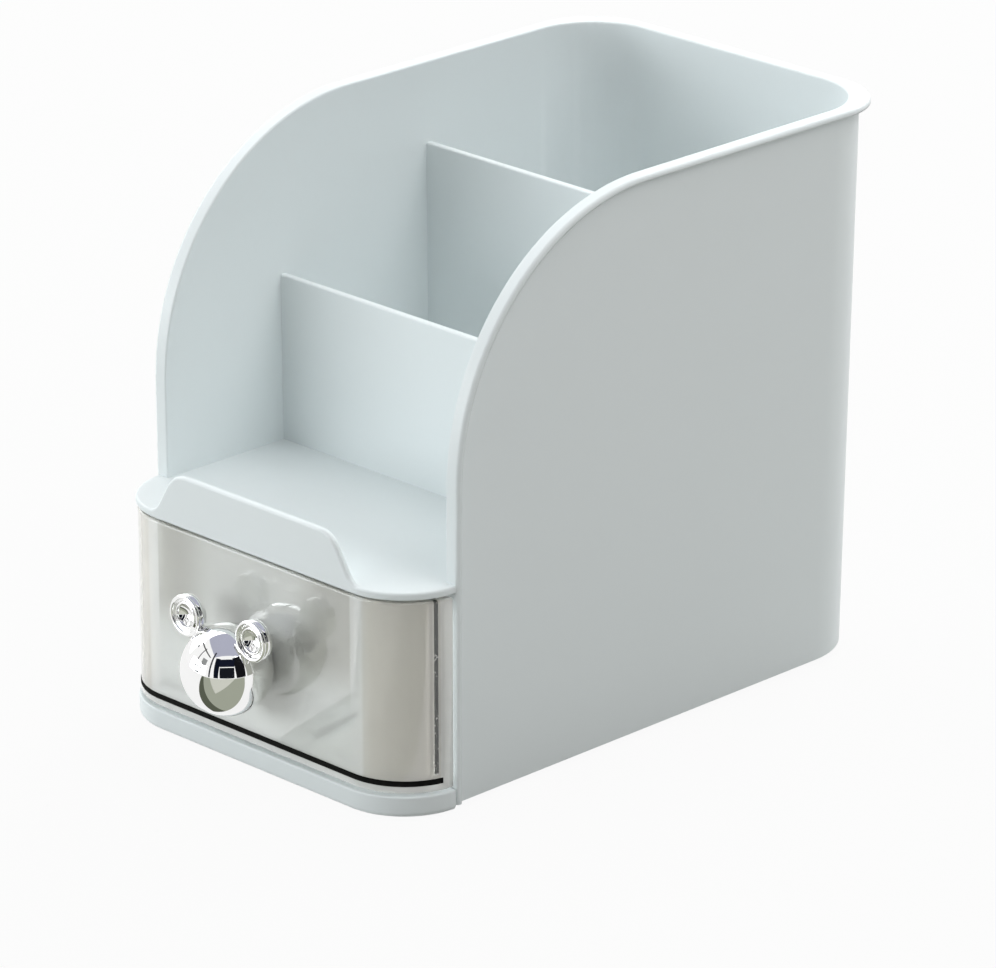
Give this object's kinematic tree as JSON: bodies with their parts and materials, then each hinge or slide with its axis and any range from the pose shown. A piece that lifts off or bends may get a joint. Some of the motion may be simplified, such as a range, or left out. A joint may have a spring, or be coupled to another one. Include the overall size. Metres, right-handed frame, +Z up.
{
  "type": "brush holder with drawer",
  "caption": "White desk brush holder with arched side walls, divided compartments, a front tray and a clear drawer with a round chrome knob.",
  "frame": {"origin": "on the table under the middle of the whole object, knob included, with the drawer closed", "axes": "+Z up, +Y towards the back wall, the drawer opens towards -Y, +X across to the right-hand wall seen from the front"},
  "size_m": [0.1042, 0.1854, 0.1414],
  "materials": {
    "white_plastic": "gloss",
    "clear_plastic": "gloss",
    "chrome_knob": "mirror",
    "dark_steel": "satin",
    "soft_pad": "matte"
  },
  "bodies": {
    "holder": {"organiser_shell": "white_plastic", "base_plate": "white_plastic", "rest_pad_1": "soft_pad", "rest_pad_2": "soft_pad", "rest_pad_3": "soft_pad", "rest_pad_4": "soft_pad"},
    "drawer_body": {"drawer": "clear_plastic", "knob": "chrome_knob", "knob_screw": "dark_steel", "knob_washer": "soft_pad"}
  },
  "joints": [
    {"name": "drawer_slide", "type": "slide", "parent": "holder", "child": "drawer_body", "axis": [0, -1, 0], "range_m": [0, 0.105]}
  ]
}
